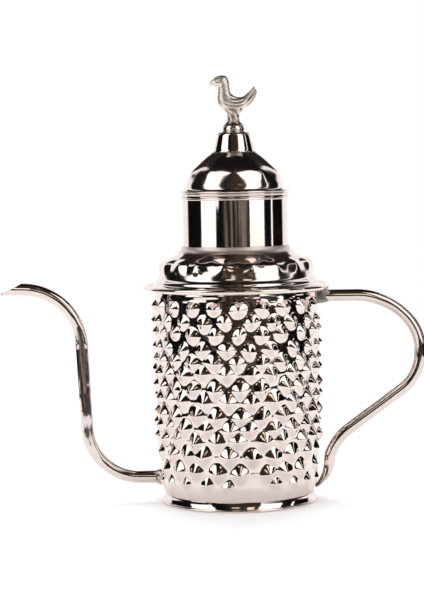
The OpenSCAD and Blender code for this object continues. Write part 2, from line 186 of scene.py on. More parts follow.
# Solder: dull grey brown with a lumpy skin, and bright wiped patches where asked
solderLook = {"grey": (0.36, 0.31, 0.28), "brown": (0.14, 0.105, 0.085), "scuff": (0.46, 0.42, 0.39),
              "wiped": (0.74, 0.68, 0.64), "lumpScale": 260, "stainScale": 90, "scuffScale": 700}


def greySolder(name, wiped):
    look = solderLook
    material, b = newMaterial(name)
    place = b.place()
    lumps = b.cloud(place, look["lumpScale"], 3.0, 0.55)
    stain = b.cloud(place, look["stainScale"], 4.0, 0.6)
    scuff = b.ramp(b.cloud(place, look["scuffScale"], 2.0, 0.5), 0.56, 0.7)
    colour = b.mix(b.ramp(stain, 0.4, 0.68), look["grey"], look["brown"])
    colour = b.mix(scuff * 0.5, colour, look["scuff"])
    colour = b.mix(b.ramp(lumps, 0.62, 0.38) * wiped, colour, look["wiped"])
    b.surface({"Base Color": colour, "Metallic": 0.9, "Roughness": 0.14 + 0.22 * stain,
               "Normal": b.bump(0.3 * lumps + 0.02 * scuff)})
    return material


# Tinned inside: matt grey with wiped streaks
tinLook = {"tin": (0.55, 0.52, 0.49), "dark": (0.22, 0.19, 0.165), "streaks": (60, 320, 60), "stainScale": 55}


def tinnedInside():
    look = tinLook
    material, b = newMaterial("tinnedInside")
    place = b.place()
    wiped = b.cloud(b.stretch(place, look["streaks"]), 1.0, 4.0, 0.6)
    stain = b.cloud(place, look["stainScale"], 4.0, 0.65)
    colour = b.mix(b.ramp(stain, 0.42, 0.75), look["tin"], look["dark"])
    b.surface({"Base Color": colour, "Metallic": 0.9, "Roughness": 0.32 + 0.25 * wiped,
               "Normal": b.bump(0.03 * wiped + 0.04 * stain)})
    return material


# Screw brass: turned, slightly browned
brassLook = {"brass": (0.66, 0.45, 0.17), "brown": (0.25, 0.15, 0.06), "turning": (300, 300, 5200),
             "stainScale": 400}


def screwBrass():
    look = brassLook
    material, b = newMaterial("screwBrass")
    place = b.place()
    turned = b.cloud(b.stretch(place, look["turning"]), 1.0, 2.0, 0.5)
    stain = b.cloud(place, look["stainScale"], 3.0, 0.6)
    colour = b.mix(b.ramp(stain, 0.45, 0.75), look["brass"], look["brown"])
    b.surface({"Base Color": colour, "Metallic": 1.0, "Roughness": 0.24 + 0.2 * stain,
               "Normal": b.bump(0.015 * turned)})
    return material


studdedPlate = brightPlate("studdedPlate", dentSize=7, dentDepth=0.08, filmShare=0.0,
                           lineSpread=(120, 120, 1500), lineDepth=0.004)
domedPlate = brightPlate("domedPlate", dentSize=14, dentDepth=0.06, filmShare=0.35, softer=0.045)
mirrorPlate = brightPlate("mirrorPlate", dentSize=26, dentDepth=0.035, filmShare=0.5,
                          lineSpread=(25, 25, 2600), lineDepth=0.0025)
drawnTube = {"dentSize": 11, "dentDepth": 0.10, "filmShare": 0.7, "lineSpread": (260, 260, 120),
             "lineDepth": 0.01}
tubePlate = brightPlate("tubePlate", **drawnTube, softer=0.01, tone=0.88)
spoutPlate = brightPlate("spoutPlate", **drawnTube, tone=0.92)
pedestalPlate = brightPlate("pedestalPlate", dentSize=9, dentDepth=0.06, filmShare=0.5, softer=0.10)
birdPlate = castPlate()
solder = greySolder("greySolder", wiped=0.0)
wipedSolder = greySolder("wipedSolder", wiped=0.9)
tinned = tinnedInside()
brass = screwBrass()
print("materials made")


# Meshes: grids of rings in millimetres. Main sizes are read from the CAD nodes
def cadSize(node):
    low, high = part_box(node)
    return {"wide": round(high.x / mm, 2), "low": round(low.z / mm, 2), "top": round(high.z / mm, 2)}


def ringTurns(count):
    return np.linspace(0, fullTurn, count, endpoint=False)


def turnFrom(turn, angle):
    return (turn - angle + math.pi) % fullTurn - math.pi


def lengthAlong(line):
    return np.concatenate([[0], np.cumsum(np.linalg.norm(np.diff(line[:, :2], axis=0), axis=1))])


# A smooth line through points, cut into even steps. Columns after the first two ride along
def curveThrough(points, count):
    pts = np.array(points, float)
    ends = np.vstack([2 * pts[0] - pts[1], pts, 2 * pts[-1] - pts[-2]])
    t = np.linspace(0, 1, 24, endpoint=False)[:, None]
    fine = []
    for i in range(1, len(ends) - 2):
        p0, p1, p2, p3 = ends[i - 1:i + 3]
        fine.append(0.5 * (2 * p1 + (p2 - p0) * t + (2 * p0 - 5 * p1 + 4 * p2 - p3) * t ** 2
                           + (3 * p1 - p0 - 3 * p2 + p3) * t ** 3))
    fine = np.vstack([*fine, pts[-1:]])
    along = lengthAlong(fine)
    at = np.linspace(0, along[-1], count)
    return np.stack([np.interp(at, along, column) for column in fine.T], axis=1)


def arcPoints(centre, radius, start, end, count):
    a = np.radians(np.linspace(start, end, count))
    return np.stack([centre[0] + radius * np.cos(a), centre[1] + radius * np.sin(a)], axis=1)


def sideOf(line):
    along = np.gradient(line, axis=0)
    along /= np.linalg.norm(along, axis=1)[:, None] + 1e-12
    return np.stack([-along[:, 1], along[:, 0]], axis=1)


# An outer line and, backwards, the inner face of the same sheet
def sheetLoop(outer, thickness, backCount):
    inner = outer + sideOf(outer) * thickness
    pick = np.linspace(len(outer) - 1, 0, backCount).round().astype(int)
    return np.vstack([outer, inner[pick]])


def gridFaces(rings, columns, closedRings, closedColumns=True):
    ring = columns * np.arange(rings if closedRings else rings - 1)[:, None]
    side = np.arange(columns if closedColumns else columns - 1)
    nextRing, nextSide = (ring + columns) % (rings * columns), (side + 1) % columns
    corners = np.stack([ring + side, ring + nextSide, nextRing + nextSide, nextRing + side], axis=2)
    return [tuple(face) for face in corners.reshape(-1, 4).tolist()]


def cappedFaces(rings, sides):
    ends = [tuple(range(sides - 1, -1, -1)), tuple(range((rings - 1) * sides, rings * sides))]
    return gridFaces(rings, sides, False) + ends


def shiftedFaces(faces, first):
    return [tuple(first + corner for corner in face) for face in faces]


def gridPoints(x, y, z):
    return np.stack(np.broadcast_arrays(x, y, z), axis=2).reshape(-1, 3)


# Faces meeting at more than sharp degrees keep a hard edge. Paint, hollow or dull, is a value
# for each ring or for each vertex
def newPiece(name, verts, faces, material, body, node, sharp=40, hollow=None, dull=None):
    mesh = bpy.data.meshes.new(name)
    mesh.from_pydata((verts * mm).tolist(), [], faces)
    mesh.validate()
    for polygon in mesh.polygons:
        polygon.use_smooth = True
    mesh.set_sharp_from_angle(angle=math.radians(sharp))
    for paint, values in (("hollow", hollow), ("dull", dull)):
        shade = mesh.attributes.new(paint, "FLOAT", "POINT")
        if values is not None:
            spread = np.repeat(values, len(verts) // len(values))
            shade.data.foreach_set("value", spread.astype(np.float32))
    mesh.materials.append(material)
    piece = bpy.data.objects.new(name, mesh)
    scene.collection.objects.link(piece)
    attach(piece, body)
    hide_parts(node)


# A closed outline turned round the axis, lifted off its surface by out
def spunPiece(name, profile, material, body, node, out, hollow=None, sharp=40, dull=None):
    columns = out.shape[1]
    turn = ringTurns(columns)
    side = sideOf(profile)
    r = profile[:, :1] - side[:, :1] * out
    z = profile[:, 1:2] - side[:, 1:2] * out
    verts = gridPoints(r * np.cos(turn), r * np.sin(turn), z)
    faces = gridFaces(len(profile), columns, True)
    newPiece(name, verts, faces, material, body, node, sharp, hollow, dull)


# Slow uneven waves round a turned piece, drifting as they climb. A shape's wave is (lobes, size)
waveSpread = {"drift": (-4, 4), "lean": (0.3, 1)}


def waviness(rings, columns, lobes, size):
    turn = ringTurns(columns)
    height = np.linspace(0, 1, rings)[:, None]
    wave = np.zeros((rings, columns))
    for k in range(2, lobes):
        phase = chance.uniform(0, fullTurn)
        drift, lean = chance.uniform(*waveSpread["drift"]), chance.uniform(*waveSpread["lean"])
        wave += lean / k * np.sin(k * turn + phase + drift * height)
    return size * wave


# A raised sheet: its outer face waved and lifted, its inner face plain and painted with film
def sheetPiece(name, outer, shape, film, material, body, node, sharp=40, relief=0, dull=None):
    profile = sheetLoop(outer, shape["sheet"], shape["backRings"])
    out = np.zeros((len(profile), shape["columns"]))
    out[:len(outer)] = relief + waviness(len(outer), shape["columns"], *shape["wave"])
    hollow = np.full(len(profile), shape["insideFilm"])
    hollow[:len(outer)] = film
    spunPiece(name, profile, material, body, node, out, hollow, sharp, dull)


# Foot ring: round lip, waisted band and the ledge under the base
footCad = cadSize("foot_ring")
footShape = {
    "lip": footCad["wide"], "lipRound": 1.0, "height": footCad["top"], "ledge": 43.0, "sheet": 0.8,
    "band": [(48.5, 2.05), (48.3, 2.5), (48.0, 3.2), (47.75, 4.0), (47.6, 4.8), (47.5, 5.5), (47.4, 6.1)],
    "inside": [(45.4, 5.3), (46.6, 0.25), (47.0, 0.0)],
    "bandRings": 18, "columns": 224, "wave": (12, 0.06), "creaseFilm": 0.9, "insideFilm": 0.8,
}


def footRing():
    foot = footShape
    lip = arcPoints((foot["lip"] - foot["lipRound"], foot["lipRound"]), foot["lipRound"], -90, 76, 12)
    band = curveThrough(foot["band"], foot["bandRings"])
    ledge = [(foot["ledge"], foot["height"]), (foot["ledge"], foot["height"] - foot["sheet"])]
    profile = np.vstack([lip, band, ledge, foot["inside"]])
    insideFrom = len(lip) + len(band)
    out = waviness(len(profile), foot["columns"], *foot["wave"])
    out[insideFrom:] = 0
    hollow = np.zeros(len(profile))
    hollow[len(lip)] = foot["creaseFilm"]
    hollow[insideFrom:] = foot["insideFilm"]
    spunPiece("footRing", profile, mirrorPlate, "pot", "foot_ring", out, hollow)


# Studded wall: rows of beaten tent-shaped points, each a little off its place, joined by faint creases
wallCad = cadSize("body_wall")
wallShape = {
    "footRadius": 47.25, "lowRadius": 50.2, "topRadius": 51.6, "lipRadius": wallCad["wide"], "sheet": 0.8,
    "footZ": wallCad["low"] - 0.05, "curveZ": 16.0, "lipZ": wallCad["top"] - 0.8, "lipBend": 0.9,
    "columns": 528, "rows": 330, "backRows": 64, "wave": (9, 0.05),
    "marks": [(129, 134, 150, 0.12), (8, 15, 90, 0.05)],  # hammer marks: from z, to z, count, depth
    "markWide": (3, 7), "markTall": (0.5, 1.1),
}
studShape = {
    "rows": 14, "perRow": 22, "lowZ": 18.7, "pitch": 8.24, "edge": 0.09,
    "rowDrift": [-2.3, -2.7, -0.8, 0.0, -0.6, -0.8, -0.2, -0.6, 0.6, -0.6, -0.7, 0.4, -1.0, 0.0],
    "missing": [(0, 273), (0, 286)], "missingReach": 7,  # row and degrees round the pot
    "clearReach": 11, "handleRows": range(3, 12), "spoutRows": range(2, 14),  # rows that run on behind them
}
studSizes = {
    "row": [0, 1, 6, 8, 10],  # sizes at these rows, even steps between them
    "halfWidth": [4.6, 6.2, 6.0, 5.1, 4.5],
    "upper": [5.0, 6.9, 6.8, 5.5, 4.8],
    "lower": [4.4, 6.0, 5.9, 5.1, 4.5],
    "height": [2.2, 3.1, 3.5, 3.4, 3.1],
    "narrow": [0.2, 0.2, 0.2, 0.1, 0.1],
    "power": [1.5, 1.8, 1.9, 2.1, 2.2],
}
studSpread = {"turn": 1.1, "level": 0.5, "wide": 0.08, "tall": 0.07, "high": 0.08, "tilt": 0.5, "lean": 0.12}
creaseShape = {"height": 0.22, "half": 2.6, "edge": 0.12, "power": 1.2,
               "row": [0, 1, 5, 9], "share": [0.0, 1.0, 0.8, 0.0]}


def wallRadius(z):
    wall = wallShape
    rise = np.sin(np.clip((z - wall["footZ"]) / (wall["curveZ"] - wall["footZ"]), 0, 1) * math.pi / 2)
    low = wall["footRadius"] + (wall["lowRadius"] - wall["footRadius"]) * rise
    lean = (wall["topRadius"] - wall["lowRadius"]) / (wall["lipZ"] - wall["curveZ"])
    return low + lean * np.clip(z - wall["curveZ"], 0, None)


# Height of a beaten point: a rounded cone above its crest, a narrower tongue below, and a soft foot
pointShape = {"tongue": 0.25, "roundAcross": 0.01, "roundAlong": 0.002}


def beatenPoint(across, along, edge, power, narrow=0):
    across = across * (1 + narrow * np.clip(-along / pointShape["tongue"], 0, 1))
    sideways = (across ** 2 + pointShape["roundAcross"]) ** (power / 2)
    upward = (along ** 2 + pointShape["roundAlong"]) ** (power / 2)
    return edge * np.logaddexp(0, (1 - (sideways + upward) ** (1 / power)) / edge)


# Studs are left out where handle and spout are fixed, and where the real ones are missing
def studLeftOut(row, angle):
    towards = math.degrees(angle) % 360
    nearHandle = min(towards, 360 - towards) < studShape["clearReach"]
    nearSpout = abs(towards - 180) < studShape["clearReach"]
    missing = any(row == r and abs(towards - t) < studShape["missingReach"] for r, t in studShape["missing"])
    return (nearHandle and row not in studShape["handleRows"]
            or nearSpout and row not in studShape["spoutRows"] or missing)


def studRelief(z, turn):
    stud, spread, crease = studShape, studSpread, creaseShape
    height = z[:, None]
    relief = np.zeros((len(z), len(turn)))
    step = fullTurn / stud["perRow"]
    for row in range(stud["rows"]):
        rowZ = stud["lowZ"] + row * stud["pitch"] + stud["rowDrift"][row]
        size = {part: np.interp(row, studSizes["row"], values) for part, values in studSizes.items()}
        angles, levels = [], []
        for k in range(stud["perRow"]):
            angle = step * (k + 0.5 * (row % 2)) + math.radians(chance.normal(0, spread["turn"]))
            level = rowZ + chance.normal(0, spread["level"])
            wide = size["halfWidth"] * chance.normal(1, spread["wide"])
            tall = chance.normal(1, spread["tall"])
            high = size["height"] * chance.normal(1, spread["high"])
            tilt, lean = chance.normal(0, spread["tilt"]), chance.normal(0, spread["lean"])
            angles.append(angle)
            levels.append(level)
            if studLeftOut(row, angle):
                continue
            across = turnFrom(turn, angle)[None, :] * wallShape["topRadius"] / wide
            rise = height - level + tilt * across
            along = rise / np.where(rise > 0, size["upper"], size["lower"]) / tall
            point = beatenPoint(across + lean * along, along, stud["edge"], size["power"], size["narrow"])
            relief = np.maximum(relief, high * point)
        order = np.argsort(angles)
        crest = np.interp(turn, np.array(angles)[order], np.array(levels)[order], period=fullTurn)
        share = crease["height"] * np.interp(row, crease["row"], crease["share"])
        line = (height - crest) / crease["half"]
        relief = np.maximum(relief, share * beatenPoint(0 * line, line, crease["edge"], crease["power"]))
    return relief


def hammerMarks(z, turn, low, top, count, depth):
    marks = np.zeros((len(z), len(turn)))
    for _ in range(count):
        angle, level = chance.uniform(0, fullTurn), chance.uniform(low, top)
        wide, tall = chance.uniform(*wallShape["markWide"]), chance.uniform(*wallShape["markTall"])
        across = turnFrom(turn, angle)[None, :] * wallShape["topRadius"] / wide
        far = across ** 2 + ((z[:, None] - level) / tall) ** 2
        marks += chance.uniform(-1, 1) * depth * np.exp(-far)
    return marks


def bodyWall():
    wall = wallShape
    bend, sheet = wall["lipBend"], wall["sheet"]
    z = np.linspace(wall["footZ"], wall["lipZ"] - bend, wall["rows"])
    turn = ringTurns(wall["columns"])
    relief = studRelief(z, turn)
    relief += sum(hammerMarks(z, turn, *marks) for marks in wall["marks"])
    plain = np.stack([wallRadius(z), z], axis=1)
    lip = np.vstack([arcPoints((wall["topRadius"] + bend, wall["lipZ"] - bend), bend, 180, 90, 6)[1:],
                     [(wall["lipRadius"], wall["lipZ"]), (wall["lipRadius"], wall["lipZ"] + sheet),
                      (wall["topRadius"] - sheet, wall["lipZ"] + sheet)]])
    backPick = np.linspace(len(z) - 1, 0, wall["backRows"]).round().astype(int)
    profile = np.vstack([plain, lip, plain[backPick] - [sheet, 0]])
    out = np.vstack([relief, np.zeros((len(lip), len(turn))), relief[backPick]])
    out += waviness(len(profile), len(turn), *wall["wave"])
    r = profile[:, :1] + out
    verts = gridPoints(r * np.cos(turn), r * np.sin(turn), profile[:, 1:])
    faces = gridFaces(len(profile), len(turn), True)
    newPiece("bodyWall", verts, faces, studdedPlate, "pot", "body_wall", sharp=35)


# Rolled bead over the seam between wall and shoulder
beadCad = cadSize("seam_ring")
beadShape = {"path": beadCad["wide"] - 1.65, "radius": 1.65, "z": (beadCad["low"] + beadCad["top"]) / 2,
             "slope": 0.12, "columns": 256, "wave": (26, 0.045), "creaseDepth": 1.2, "creaseFilm": 0.9}


def seamBead():
    bead = beadShape
    ring = arcPoints((bead["path"], bead["z"]), bead["radius"], 200, -160, 25)[:-1][::-1]
    ring[:, 1] += bead["slope"] * (ring[:, 0] - bead["path"])
    out = waviness(len(ring), bead["columns"], *bead["wave"])
    hollow = (ring[:, 0] < bead["path"] - bead["creaseDepth"]) * bead["creaseFilm"]
    spunPiece("seamBead", ring, mirrorPlate, "pot", "seam_ring", out, hollow, sharp=60)


# Domed pieces carry one ring of pointed bosses. Film gathers where the line is flat, and the top ends dull
bossSpread = {"turn": 1.2, "wide": 0.06, "level": 0.25, "high": 0.08}
domeShape = {"sheet": 0.8, "backRings": 40, "wave": (8, 0.05), "insideFilm": 0.7,
             "flatFilm": 0.7, "flatFrom": 0.4, "flatOver": 6, "bossEdge": 0.16, "bossPower": 1.7}


def bossRelief(line, columns, count, level, wide, tall, high, start):
    turn = ringTurns(columns)
    relief = np.zeros((len(line), columns))
    along = lengthAlong(line)
    middle = np.interp(level, line[:, 1], along)
    radius = np.interp(level, line[:, 1], line[:, 0])
    for k in range(count):
        angle = fullTurn * (k + start) / count + math.radians(chance.normal(0, bossSpread["turn"]))
        u = turnFrom(turn, angle)[None, :] * radius / (wide * chance.normal(1, bossSpread["wide"]))
        v = (along[:, None] - middle - chance.normal(0, bossSpread["level"])) / tall
        point = beatenPoint(u, v, domeShape["bossEdge"], domeShape["bossPower"])
        relief = np.maximum(relief, high * chance.normal(1, bossSpread["high"]) * point)
    return relief


def domedPiece(name, shape, body, node):
    dome = {**domeShape, **shape}
    outer = curveThrough(dome["line"], dome["rings"])
    relief = bossRelief(outer, dome["columns"], **dome["bosses"])
    flatness = np.abs(np.gradient(outer[:, 0], outer[:, 1] + 1e-6 * np.arange(len(outer))))
    film = np.clip(flatness / dome["flatOver"] - dome["flatFrom"], 0, dome["flatFilm"])
    dull = np.concatenate([np.interp(outer[:, 1], dome["dullLevels"], [0, 1]), np.zeros(dome["backRings"])])
    sheetPiece(name, outer, dome, film, domedPlate, body, node, 50, relief, dull)


shoulderShape = {
    "line": [(57.0, 137.2), (55.6, 137.3), (53.8, 137.7), (52.4, 138.4), (51.6, 139.1), (51.3, 139.7),
             (51.1, 140.4), (50.5, 141.1), (49.7, 141.8), (49.1, 142.5), (48.8, 143.4), (48.6, 144.6),
             (48.3, 146.2), (47.8, 148.1), (47.0, 150.0), (45.5, 152.2), (43.3, 154.1), (40.1, 156.1),
             (36.9, 158.2), (34.7, 160.2), (34.0, 161.5), (33.85, 162.4)],
    "rings": 130, "columns": 360, "dullLevels": (157.8, 160.5),
    "bosses": {"count": 18, "level": 150.8, "wide": 7.0, "tall": 6.2, "high": 2.0, "start": 0.0},
}


def shoulderDome():
    domedPiece("shoulderDome", shoulderShape, "pot", "shoulder_dome")


lidShape = {
    "line": [(32.7, 197.15), (32.2, 197.6), (31.6, 198.3), (31.0, 199.8), (30.4, 201.9), (29.6, 204.0),
             (28.7, 206.0), (27.7, 208.0), (26.5, 210.0), (24.9, 212.0), (23.0, 213.9), (20.6, 216.1),
             (18.0, 218.2), (15.9, 219.7), (14.2, 220.9), (13.0, 221.5), (12.2, 221.8)],
    "rings": 96, "columns": 300, "dullLevels": (220, 222),
    "bosses": {"count": 10, "level": 207.6, "wide": 6.4, "tall": 5.6, "high": 0.8, "start": 0.5},
}


def lidDome():
    domedPiece("lidDome", lidShape, "lid", "lid_dome")


# Plain bright neck
neckCad = cadSize("neck_tube")
neckShape = {"radius": neckCad["wide"], "sheet": 0.9, "lowZ": neckCad["low"] + 0.1, "topZ": neckCad["top"],
             "rings": 60, "backRings": 8, "columns": 256, "wave": (9, 0.035),
             "filmZ": 162.2, "filmRise": 1.6, "insideFilm": 0.6}


def neckTube():
    neck = neckShape
    z = np.linspace(neck["lowZ"], neck["topZ"], neck["rings"])
    outer = np.stack([np.full(len(z), neck["radius"]), z], axis=1)
    film = np.clip(1 - (z - neck["filmZ"]) / neck["filmRise"], 0, 1)
    sheetPiece("neckTube", outer, neck, film, mirrorPlate, "pot", "neck_tube")


# Band round the neck's mouth: two beads with a hollow between. Its face is (depth, rise)
bandCad = cadSize("neck_band")
bandShape = {
    "radius": bandCad["wide"], "lowZ": bandCad["low"] + 0.05,
    "face": [(0.9, 0.0), (0.3, 0.1), (0.0, 0.6), (0.15, 1.1), (0.45, 1.5), (0.5, 2.45), (0.35, 2.95),
             (0.0, 3.45), (0.1, 4.0), (0.9, 4.1)],
    "rings": 34, "columns": 224, "wave": (8, 0.03), "filmDepth": 0.24, "filmRise": 6, "hollowFilm": 0.8,
}


def neckBand():
    band = bandShape
    points = [(band["radius"] - depth, band["lowZ"] + rise) for depth, rise in band["face"]]
    face = curveThrough(points, band["rings"])
    deep = band["radius"] - face[:, 0] - band["filmDepth"]
    hollow = np.clip(deep * band["filmRise"], 0, band["hollowFilm"])
    out = waviness(len(face), band["columns"], *band["wave"])
    spunPiece("neckBand", face, mirrorPlate, "pot", "neck_band", out, hollow, sharp=70)


# Thin brim that lies on the neck, outside the lid's sleeve
brimCad = cadSize("lid_brim")
brimShape = {"inner": cadSize("lid_sleeve")["wide"] + 0.1, "radius": brimCad["wide"],
             "lowZ": brimCad["low"], "topZ": brimCad["top"], "columns": 224, "wave": (9, 0.04)}


def lidBrim():
    brim = brimShape
    half = (brim["topZ"] - brim["lowZ"]) / 2
    edge = arcPoints((brim["radius"] - half, brim["lowZ"] + half), half, -90, 90, 11)
    profile = np.vstack([edge, [(brim["inner"], brim["topZ"]), (brim["inner"], brim["lowZ"])]])
    out = waviness(len(profile), brim["columns"], *brim["wave"])
    spunPiece("lidBrim", profile, mirrorPlate, "lid", "lid_brim", out, sharp=70)


# Cap on the lid's dome, with a rolled foot
cupShape = {
    "line": [(13.2, 221.1), (13.5, 221.2), (13.5, 221.7), (13.2, 222.3), (12.75, 223.6), (12.3, 225.2),
             (11.75, 227.2), (11.25, 229.2), (10.8, 231.0), (10.4, 232.2), (9.7, 233.1), (8.6, 233.55),
             (5.0, 233.55), (1.6, 233.55)],
    "rings": 70, "backRings": 24, "columns": 160, "sheet": 0.8, "wave": (6, 0.04),
    "footRings": 3, "footFilm": 0.9, "insideFilm": 0.7,
}


def lidCup():
    cup = cupShape
    outer = curveThrough(cup["line"], cup["rings"])
    film = np.zeros(len(outer))
    film[:cup["footRings"]] = cup["footFilm"]
    sheetPiece("lidCup", outer, cup, film, mirrorPlate, "lid", "lid_cup", sharp=60)


# Bell-shaped foot of the finial, bored for its screw
pedestalCad = cadSize("finial_pedestal")
pedestalShape = {
    "line": [(6.9, 233.57), (7.35, 233.8), (7.4, 234.2), (7.0, 234.6), (7.1, 235.3), (7.05, 236.3),
             (6.6, 237.4), (5.8, 238.5), (4.9, 239.5), (4.25, 240.16)],
    "bore": cadSize("finial_stud")["wide"] + 0.06, "lowZ": pedestalCad["low"] + 0.02,
    "topZ": pedestalCad["top"] + 0.01, "rings": 40, "columns": 96, "wave": (6, 0.04),
    "footRings": 2, "footFilm": 0.8,
}


def finialPedestal():
    bell = pedestalShape
    bore = [(bell["bore"], bell["topZ"]), (bell["bore"], bell["lowZ"])]
    profile = np.vstack([curveThrough(bell["line"], bell["rings"]), bore])
    out = waviness(len(profile), bell["columns"], *bell["wave"])
    hollow = np.zeros(len(profile))
    hollow[:bell["footRings"]] = bell["footFilm"]
    spunPiece("finialPedestal", profile, pedestalPlate, "lid", "finial_pedestal",
              out, hollow, 60)


def leftOf(facing):
    return np.array([-math.sin(facing), math.cos(facing)])


# Bent tubes follow a path in the plane through spout and handle, with a ring for each millimetre.
# A run is (length) of straight tube, or (radius, degrees) of bend
def pathRun(start, heading, runs):
    points, at, facing = [], np.array(start, float), math.radians(heading)
    for run in runs:
        if len(run) == 1:
            ahead = np.array([math.cos(facing), math.sin(facing)])
            for t in np.linspace(0, run[0], int(run[0]), endpoint=False):
                points.append([*(at + t * ahead), facing])
            at = at + run[0] * ahead
        else:
            radius, turn = math.copysign(run[0], run[1]), math.radians(run[1])
            centre = at + radius * leftOf(facing)
            for t in np.linspace(0, turn, int(radius * turn), endpoint=False):
                points.append([*(centre - radius * leftOf(facing + t)), facing + t])
            facing += turn
            at = centre - radius * leftOf(facing)
    points.append([*at, facing])
    return np.array(points)


# Rings of a tube: square above 2 makes them squarer, and shear slants the mouth
def tubeRings(path, radius, sides, shear, square=2):
    a = ringTurns(sides)
    power = 2 / np.reshape(square, (-1, 1))
    high = radius[:, None] * np.sign(np.sin(a)) * np.abs(np.sin(a)) ** power
    across = radius[:, None] * np.sign(np.cos(a)) * np.abs(np.cos(a)) ** power
    lag = shear[:, None] * (1 + np.sin(a)) / 2
    facing = path[:, 2:3]
    high = high * np.sign(np.cos(facing) + 1e-9)  # upward on both headings
    x = path[:, :1] - high * np.sin(facing) - lag * np.cos(facing)
    z = path[:, 1:2] + high * np.cos(facing) - lag * np.sin(facing)
    return np.stack([x, across, z], axis=2)


dentSpread = {"ringsEach": 9, "halfTurn": 0.9, "reach": (0.6, 1.6), "depth": (0.3, 1)}


def tubeDents(rings, sides, depth, reach):
    dents = np.zeros((rings, sides))
    for _ in range(rings // dentSpread["ringsEach"]):
        ring, angle = chance.uniform(0, rings), chance.uniform(0, fullTurn)
        off = turnFrom(ringTurns(sides), angle) / dentSpread["halfTurn"]
        along = (np.arange(rings)[:, None] - ring) / (reach * chance.uniform(*dentSpread["reach"]))
        dents -= depth * chance.uniform(*dentSpread["depth"]) * np.exp(-(along ** 2 + off ** 2))
    return dents


# Spout: a tube with a lapped seam, beaten flatter along its leg and cut on the slant at its mouth
spoutShape = {
    "rootX": -49.6, "rootZ": 15.8, "radius": 4.05, "upperRadius": 3.85, "bore": 3.4, "sides": 44,
    "runs": [(13.2,), (33.5, -87.5), (53.6,), (37.0, 85.7), (15.0,)], "cut": 13.5,
    "flatness": [(-24, 0), (-8, 1), (-2, 1), (12, 0)],  # two places from the leg's start, two from its end
    "width": [(-26, 1), (-14, 1.12), (-3, 0.72), (18, 1)],
    "step": (1.0, 1.6),  # the tube narrows here, past the leg's end
    "squareness": 2.6, "seamDepth": 0.25, "seamTurn": 0.97 * math.pi, "seamReach": 0.12,
    "dentDepth": 0.22, "dentReach": 5, "rootRings": 8, "rootFilm": 0.9,
}


def spoutTube():
    spout, sides = spoutShape, spoutShape["sides"]
    path = pathRun((spout["rootX"], spout["rootZ"]), 180, spout["runs"])
    rings = len(path)
    along = lengthAlong(path)
    root, (bendRadius, bendTurn), leg = spout["runs"][:3]
    legStart = root[0] + math.radians(abs(bendTurn)) * bendRadius
    legEnd = legStart + leg[0]
    legMarks = np.array([legStart, legStart, legEnd, legEnd])
    flat, wide = (np.interp(along, legMarks + [far for far, _ in marks], [share for _, share in marks])
                  for marks in (spout["flatness"], spout["width"]))
    endRings = int(spout["runs"][-1][0])
    shear = np.zeros(rings)
    shear[-endRings:] = np.linspace(0, 1, endRings) * spout["cut"]
    radius = np.interp(along, legEnd + np.array(spout["step"]), [spout["radius"], spout["upperRadius"]])
    outer = tubeRings(path, radius, sides, shear, 2 + spout["squareness"] * flat)
    outer[:, :, 1] *= wide[:, None]
    middle = np.stack([path[:, 0], np.zeros(rings), path[:, 1]], axis=1)[:, None, :]
    out = outer - middle
    out /= np.linalg.norm(out, axis=2)[:, :, None] + 1e-9
    seam = np.exp(-((ringTurns(sides) - spout["seamTurn"]) / spout["seamReach"]) ** 2)
    relief = tubeDents(rings, sides, spout["dentDepth"], spout["dentReach"])
    relief -= spout["seamDepth"] * flat[:, None] * seam
    outer = outer + out * relief[:, :, None]
    inner = tubeRings(path, np.full(rings, spout["bore"]), sides, shear)[::-1]
    verts = np.vstack([outer.reshape(-1, 3), inner.reshape(-1, 3)])
    hollow = np.zeros(2 * rings)
    hollow[:spout["rootRings"]] = np.linspace(spout["rootFilm"], 0, spout["rootRings"])
    hollow[rings:] = 1.0
    faces = gridFaces(2 * rings, sides, True)
    newPiece("spoutTube", verts, faces, spoutPlate, "pot", "spout_tube", 45, hollow)


# Solder at the spout's root, drawn up on the tube in a ragged cone.
# Its line is (radius, distance off the wall)
collarShape = {
    "wallRadius": 50.0, "tubeRadius": spoutShape["radius"] + 0.02, "rootX": -49.7, "columns": 56,
    "line": [(5.7, 0.0), (5.3, 0.7), (5.0, 1.5), (4.7, 2.4), (4.45, 3.4), (4.1, 3.5)], "rings": 18,
    "ragged": (9, 0.035), "drawn": (7, 0.12), "drawnShare": 0.8,  # waves of its edge and of its reach
}


def spoutCollar():
    collar, columns = collarShape, collarShape["columns"]
    line = curveThrough(collar["line"], collar["rings"])
    turn = ringTurns(columns)
    r = line[:, :1] * (1 + waviness(len(line), columns, *collar["ragged"]))
    r[-1] = collar["tubeRadius"]
    y, up = r * np.cos(turn), r * np.sin(turn)
    wall = np.sqrt(np.clip(collar["wallRadius"] ** 2 - y ** 2, 0, None))
    drawn = 1 + collar["drawnShare"] * waviness(len(line), columns, *collar["drawn"])
    x = -wall - line[:, 1:2] * drawn
    rootRing = np.stack([np.full(columns, collar["rootX"]), y[-1], up[-1]], axis=1)
    verts = np.vstack([gridPoints(x, y, up), rootRing])
    verts[:, 2] += spoutShape["rootZ"]
    faces = gridFaces(len(line) + 1, columns, True)
    newPiece("spoutCollar", verts, faces, wipedSolder, "pot", "spout_collar", sharp=60)


